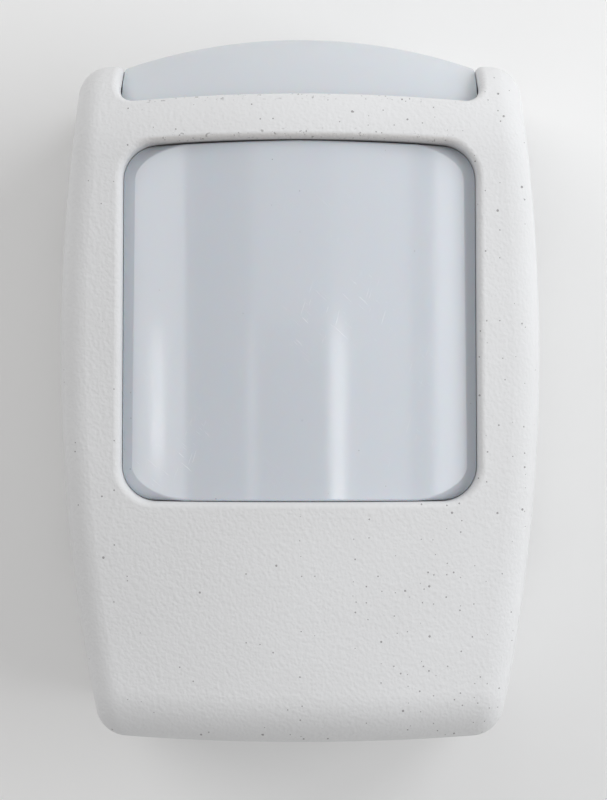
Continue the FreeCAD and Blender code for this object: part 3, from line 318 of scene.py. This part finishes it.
def lens_material():
    """Glossy bluish translucent polyethylene with faint scratches and dust."""
    recipe = Recipe("main_lens_polyethylene").set(IOR=1.52, Subsurface_Weight=0.25, Subsurface_Scale=0.002)
    tone = recipe.noise(35.0, 2.0)
    colour = recipe.mix(tone, (0.61, 0.642, 0.692), (0.635, 0.667, 0.717))
    line_a = recipe.noise(1.0, 2.0, 0.5, recipe.stretched((330.0, 60.0, 5200.0), (0.0, 0.75, 0.0)))
    line_b = recipe.noise(1.0, 2.0, 0.5, recipe.stretched((5200.0, 60.0, 260.0), (0.0, 0.30, 0.0)))
    scratches = recipe.math("MAXIMUM", recipe.ramp(line_a, 0.68, 0.73), recipe.ramp(line_b, 0.69, 0.74))
    patch = recipe.ramp(recipe.noise(75.0, 2.0), 0.52, 0.66)
    scratches = recipe.math("MULTIPLY", scratches, patch)
    colour = recipe.mix(recipe.math("MULTIPLY", scratches, 0.45), colour, (0.82, 0.84, 0.87))
    colour = add_specks(recipe, colour, 260.0, 0.07 * MM, 0.10, 1.0, (0.2, 0.2, 0.22))
    polish = recipe.ramp(recipe.noise(150.0, 2.0), 0.3, 0.7, 0.09, 0.12)
    rough = recipe.math("MULTIPLY_ADD", scratches, 0.2, polish)
    ripple = recipe.noise(1.0, 1.0, 0.5, recipe.stretched((170.0, 20.0, 25.0)))
    normal = recipe.bump(ripple, 0.02 * MM, 0.4)
    return recipe.finish_with(colour, rough, recipe.bump(scratches, 0.004 * MM, 0.5, normal))


def upper_lens_material():
    """The same polyethylene with a satin face."""
    recipe = Recipe("upper_lens_polyethylene").set(IOR=1.5, Subsurface_Weight=0.25, Subsurface_Scale=0.002)
    tone = recipe.noise(50.0, 2.0)
    colour = recipe.mix(tone, (0.62, 0.652, 0.69), (0.65, 0.682, 0.717))
    rough = recipe.ramp(recipe.noise(200.0, 2.0), 0.3, 0.7, 0.36, 0.44)
    normal = recipe.bump(recipe.noise(700.0, 2.0), 0.01 * MM, 0.4)
    return recipe.finish_with(colour, rough, normal)


def plain_plastic(name, colour, rough=0.5, grain=0.02 * MM, vary=0.08, **settings):
    """Moulded plastic with a slight change of tone and a fine skin."""
    recipe = Recipe(name).set(**settings)
    deep = tuple(channel * (1.0 - vary) for channel in colour)
    shade = recipe.mix(recipe.noise(180.0, 3.0), deep, colour)
    roughness = recipe.ramp(recipe.noise(420.0, 2.0), 0.3, 0.7, rough - 0.06, rough + 0.06)
    return recipe.finish_with(shade, roughness, recipe.bump(recipe.noise(1600.0, 2.0), grain, 0.35))


def metal(name, colour, rough=0.28, brushed=True, vary=0.12):
    """Plated metal with fine drawn lines and slight tarnish."""
    recipe = Recipe(name).set(Metallic=1.0)
    deep = tuple(channel * (1.0 - vary) for channel in colour)
    shade = recipe.mix(recipe.noise(300.0, 4.0), deep, colour)
    scale = (900.0, 900.0, 9000.0) if brushed else (1500.0, 1500.0, 1500.0)
    lines = recipe.noise(1.0, 2.0, 0.5, recipe.stretched(scale))
    roughness = recipe.ramp(lines, 0.3, 0.7, rough - 0.08, rough + 0.10)
    return recipe.finish_with(shade, roughness, recipe.bump(lines, 0.006 * MM, 0.4))


def board_material():
    """Green solder mask over copper tracks on a woven laminate."""
    recipe = Recipe("board_solder_mask").set(IOR=1.5, Coat_Weight=0.35, Coat_Roughness=0.15)
    mask = (0.022, 0.16, 0.062)
    track = (0.045, 0.25, 0.10)
    grid = recipe.add("ShaderNodeTexBrick", offset=0.5, squash=1.0)
    turned = recipe.stretched((1.0, 1.0, 1.0), (math.radians(-90), 0.0, 0.0))
    recipe.link(turned, grid.inputs["Vector"])
    for key, value in (("Scale", 150.0), ("Mortar Size", 0.035), ("Mortar Smooth", 0.1),
                       ("Brick Width", 1.9), ("Row Height", 0.24)):
        grid.inputs[key].default_value = value
    broken = recipe.ramp(recipe.noise(120.0, 1.0), 0.46, 0.52)
    tracks = recipe.math("MULTIPLY", grid.outputs["Fac"], broken)
    colour = recipe.mix(tracks, mask, track)
    distance, pick, _ = recipe.cells(260.0)
    in_circle = recipe.math("LESS_THAN", distance, 0.28 * MM)
    chosen = recipe.math("LESS_THAN", pick, 0.22)
    via = recipe.math("MULTIPLY", in_circle, chosen)
    colour = recipe.mix(via, colour, (0.55, 0.45, 0.22))
    weave = recipe.noise(1.0, 1.0, 0.5, recipe.stretched((2600.0, 1.0, 2600.0)))
    normal = recipe.bump(weave, 0.006 * MM, 0.3)
    normal = recipe.bump(tracks, 0.03 * MM, 0.6, normal)
    return recipe.finish_with(colour, 0.38, normal)


def clear_material():
    """Clear acrylic of the light guide."""
    recipe = Recipe("clear_acrylic").set(IOR=1.49, Transmission_Weight=0.9, Roughness=0.12)
    colour = recipe.mix(recipe.noise(200.0, 2.0), (0.90, 0.93, 0.95), (0.95, 0.97, 0.98))
    return recipe.finish_with(colour, None, recipe.bump(recipe.noise(350.0, 2.0), 0.01 * MM, 0.3))


MATERIALS = {
    "cover_plastic": cover_material,
    "base_plastic": base_material,
    "lens_plastic": lens_material,
    "upper_lens_plastic": upper_lens_material,
    "retainer_plastic": lambda: plain_plastic("retainer_plastic_look", (0.74, 0.74, 0.73), 0.45),
    "board_laminate": board_material,
    "screw_steel": lambda: metal("zinc_plated_steel", (0.62, 0.62, 0.63), 0.30),
    "can_metal": lambda: metal("nickel_plated_can", (0.72, 0.70, 0.66), 0.22),
    "infrared_filter": lambda: plain_plastic("infrared_filter_look", (0.035, 0.03, 0.045), 0.12, 0.0,
                                             Coat_Weight=0.6),
    "tinned_metal": lambda: metal("tinned_leads", (0.70, 0.70, 0.69), 0.34, brushed=False),
    "shield_plastic": lambda: plain_plastic("shield_plastic_look", (0.78, 0.78, 0.75), 0.5),
    "clear_acrylic": clear_material,
    "led_epoxy": lambda: plain_plastic("led_epoxy_look", (0.60, 0.05, 0.035), 0.12, 0.0,
                                       Transmission_Weight=0.35),
    "terminal_plastic": lambda: plain_plastic("terminal_plastic_look", (0.03, 0.20, 0.10), 0.42),
    "clamp_metal": lambda: metal("clamp_nickel", (0.66, 0.65, 0.60), 0.30, brushed=False),
    "relay_case": lambda: plain_plastic("relay_case_look", (0.80, 0.77, 0.68), 0.30),
    "chip_epoxy": lambda: plain_plastic("chip_epoxy_look", (0.02, 0.02, 0.021), 0.55, 0.03 * MM, 0.25),
    "capacitor_sleeve": lambda: plain_plastic("capacitor_sleeve_look", (0.02, 0.026, 0.06), 0.25),
    "capacitor_ceramic": lambda: plain_plastic("capacitor_ceramic_look", (0.40, 0.28, 0.16), 0.45),
    "resistor_ceramic": lambda: plain_plastic("resistor_ceramic_look", (0.025, 0.025, 0.025), 0.35),
    "varistor_coating": lambda: plain_plastic("varistor_coating_look", (0.02, 0.07, 0.30), 0.30),
    "header_plastic": lambda: plain_plastic("header_plastic_look", (0.02, 0.02, 0.02), 0.45),
    "gold_pin": lambda: metal("gold_plated_pin", (0.86, 0.66, 0.28), 0.22, brushed=False),
    "jumper_plastic": lambda: plain_plastic("jumper_plastic_look", (0.45, 0.03, 0.025), 0.35),
    "trimmer_plastic": lambda: plain_plastic("trimmer_plastic_look", (0.02, 0.10, 0.42), 0.30),
    "rotor_plastic": lambda: plain_plastic("rotor_plastic_look", (0.78, 0.78, 0.74), 0.40),
    "switch_plastic": lambda: plain_plastic("switch_plastic_look", (0.025, 0.025, 0.027), 0.42),
    "plunger_plastic": lambda: plain_plastic("plunger_plastic_look", (0.76, 0.76, 0.72), 0.38),
    "spring_steel": lambda: metal("spring_wire", (0.60, 0.60, 0.60), 0.28, brushed=False),
}


def dress_nodes():
    """Give every CAD node its procedural material."""
    made = {slot: make() for slot, make in MATERIALS.items()}
    for part in frame["record"]["subparts"]:
        node = frame["nodes"][part["node"]]
        for place in node.material_slots:
            place.material = made[part["material_slot"]]


def add_tamper_coil():
    """The spring under the plunger, copied to its own mesh and carried with the board."""
    node = frame["nodes"]["tamper_spring"]
    coil = bpy.data.objects.new("tamper_coil", node.data.copy())
    bpy.context.scene.collection.objects.link(coil)
    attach(coil, "board")
    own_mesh(coil)
    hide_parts("tamper_spring")


# --- Stage -----------------------------------------------------------------------
def rear_outline():
    """Corners of the rear face, in order round it."""
    rear = frame["nodes"]["rear_base"]
    points = [(v.co.x, v.co.z) for v in rear.data.vertices if v.co.y > -REAR_FACE_DEPTH]
    return [points[index] for index in convex_hull_2d([Vector(point) for point in points])]


def table_material():
    """Pale matt table top, see-through from its rear side."""
    recipe = Recipe("table_top")
    colour = recipe.mix(recipe.noise(30.0, 3.0), (0.89, 0.89, 0.885), (0.91, 0.91, 0.905))
    recipe.finish_with(colour, 0.6)
    seen_from_behind = recipe.add("ShaderNodeNewGeometry").outputs["Backfacing"]
    clear = recipe.add("ShaderNodeBsdfTransparent")
    blend = recipe.add("ShaderNodeMixShader")
    recipe.link(seen_from_behind, blend.inputs["Fac"])
    recipe.link(recipe.shader.outputs["BSDF"], blend.inputs[1])
    recipe.link(clear.outputs["BSDF"], blend.inputs[2])
    recipe.link(blend.outputs["Shader"], recipe.output.inputs["Surface"])
    return recipe.material


def make_backdrop():
    """Pale table top behind the sensor.

    It is open under the sensor, so that the rear face is lit when it is looked at from
    behind.
    """
    inner = []
    outer = []
    for x, z in rear_outline():
        across = Vector((x, z))
        inner.append(across * (1 - BACKDROP_INSET / across.length))
        outer.append(across.normalized() * BACKDROP_RADIUS)
    mesh = bpy.data.meshes.new("backdrop")
    count = len(inner)
    faces = [(side, (side + 1) % count, (side + 1) % count + count, side + count) for side in range(count)]
    mesh.from_pydata([(x, BACKDROP_Y, z) for x, z in outer + inner], [], faces)
    table = bpy.data.objects.new("backdrop", mesh)
    bpy.context.scene.collection.objects.link(table)
    mesh.materials.append(table_material())
    table.visible_shadow = False


def aim(thing, target):
    """Turn a light or camera so that it looks at the target."""
    direction = Vector(target) - thing.location
    thing.rotation_euler = direction.to_track_quat("-Z", "Y").to_euler()


def add_area_light(name, place, target, size, power, colour, glossy=False):
    data = bpy.data.lights.new(name, "AREA")
    data.shape = "RECTANGLE"
    data.size, data.size_y = size
    data.energy = power
    data.color = colour
    light = bpy.data.objects.new(name, data)
    bpy.context.scene.collection.objects.link(light)
    light.location = place
    aim(light, target)
    light.visible_camera = False
    light.visible_glossy = glossy
    return light


def reflected_place(across, height):
    """Where a camera ray lands after it is reflected at this point of the main lens."""
    axis_y = LENS_FRONT_Y + LENS_RADIUS
    point = Vector((across, axis_y - math.sqrt(LENS_RADIUS ** 2 - across ** 2), height))
    normal = Vector((point.x, point.y - axis_y, 0.0)).normalized()
    ray = (point - bpy.context.scene.camera.location).normalized()
    return point + ray.reflect(normal) * CARD_DISTANCE


def add_cards():
    """Glowing panels that only the glossy surfaces see."""
    for name, (left, right), (bottom, top), radiance in CARDS:
        middle = (bottom + top) / 2 * MM
        start = reflected_place(left * MM, middle)
        end = reflected_place(right * MM, middle)
        across = (left + right) / 2 * MM
        head = reflected_place(across, top * MM)
        foot = reflected_place(across, bottom * MM)
        size = ((end - start).length, (head - foot).length)
        power = radiance * math.pi * size[0] * size[1]
        target = (across, LENS_FRONT_Y, middle)
        card = add_area_light(name, (start + end) / 2, target, size, power, (1.0, 1.0, 1.0), glossy=True)
        card.visible_diffuse = False
        card.visible_transmission = False
        card.data.use_shadow = False


def set_world():
    world = bpy.data.worlds.new("studio")
    bpy.context.scene.world = world
    world.use_nodes = True
    background = world.node_tree.nodes["Background"]
    background.inputs["Color"].default_value = (*WORLD_COLOUR, 1.0)
    background.inputs["Strength"].default_value = WORLD_STRENGTH


def add_lights():
    for name, place, side, power, colour in SOFT_BOXES:
        add_area_light(name, place, (0.0, FRONT_Y, 0.0), (side, side), power, colour)


def add_camera():
    data = bpy.data.cameras.new("camera")
    data.sensor_width = SENSOR_SIZE
    data.sensor_fit = "AUTO"
    data.lens = FOCAL_LENGTH
    data.clip_start = CLIP_START
    camera = bpy.data.objects.new("camera", data)
    bpy.context.scene.collection.objects.link(camera)
    camera.location = (CAMERA_SHIFT_X, FRONT_Y - CAMERA_DISTANCE, CAMERA_HEIGHT)
    camera.rotation_euler = (math.radians(90), 0.0, 0.0)
    bpy.context.scene.camera = camera


add_camera()
bpy.context.scene.view_settings.view_transform = "Standard"
set_world()
add_lights()
add_cards()
make_backdrop()
dress_nodes()
add_tamper_coil()
